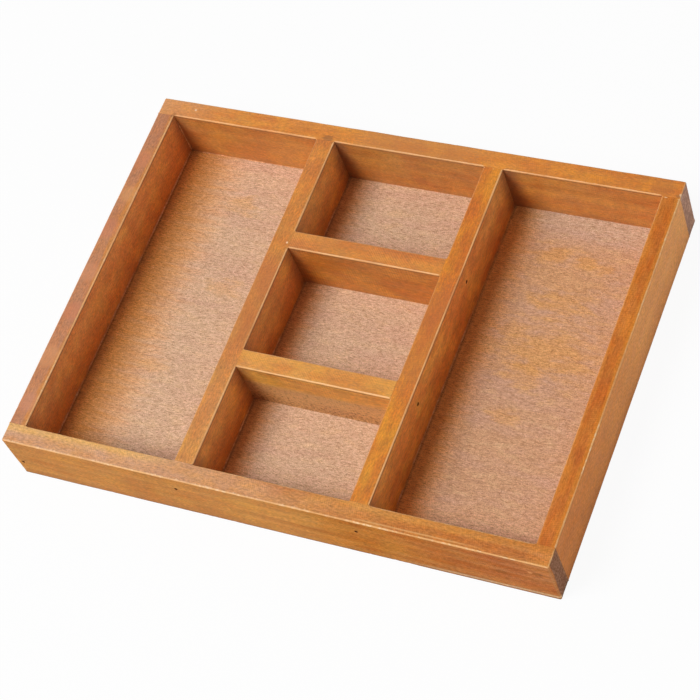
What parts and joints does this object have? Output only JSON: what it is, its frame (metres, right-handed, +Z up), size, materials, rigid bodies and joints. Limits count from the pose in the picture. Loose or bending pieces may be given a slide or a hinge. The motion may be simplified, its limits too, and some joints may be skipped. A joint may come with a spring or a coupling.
{
  "type": "cutlery tray",
  "caption": "Shallow wooden cutlery tray with full-depth side bays and a middle row of small cells over a thin plywood floor.",
  "frame": {"origin": "middle of the underside, in the plane that the tray rests on", "axes": "+X to the right along the long side, +Y from the front rail to the rear rail, +Z up out of the compartments"},
  "size_m": [0.34, 0.25, 0.04],
  "materials": {
    "timber": "orange-brown stained and thinly lacquered softwood, satin",
    "plywood": "pinkish tan veneer, open fine grain, dull",
    "brad_steel": "dulled steel",
    "wood_filler": "dry filler, flat"
  },
  "bodies": {
    "root": {"front_rail": "timber", "rear_rail": "timber", "left_side_rail": "timber", "right_side_rail": "timber", "left_divider": "timber", "right_divider": "timber", "front_cross_divider": "timber", "rear_cross_divider": "timber", "floor_panel": "plywood", "front_rail_brads": "brad_steel", "rear_rail_brads": "brad_steel", "left_divider_brads": "brad_steel", "right_divider_brads": "brad_steel", "nail_hole_filler": "wood_filler", "floor_pins": "brad_steel"}
  },
  "joints": []
}
